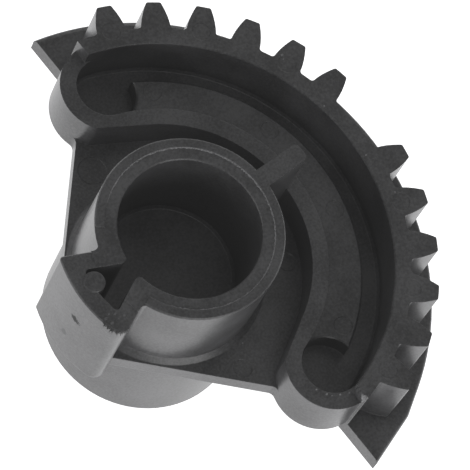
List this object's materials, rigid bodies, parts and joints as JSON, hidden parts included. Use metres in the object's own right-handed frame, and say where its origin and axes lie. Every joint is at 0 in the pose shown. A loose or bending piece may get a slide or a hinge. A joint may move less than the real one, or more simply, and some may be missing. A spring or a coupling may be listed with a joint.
{
  "type": "sector gear",
  "caption": "Moulded plastic sector gear with a hollow keyed hub, curved pocket, radial rib and a row of stub teeth with a gap at the middle.",
  "frame": {"origin": "hub axis, at the end face of the rear hub", "axes": "+Z along the hub axis towards the toothed side's open face; +X along the line of symmetry from the keyway lug to the missing tooth; +Y across"},
  "size_m": [0.0528, 0.0703, 0.03],
  "materials": {
    "black_plastic": "moulded black plastic with a slight sheen"
  },
  "bodies": {
    "root": {"sector_gear": "black_plastic"}
  },
  "joints": []
}
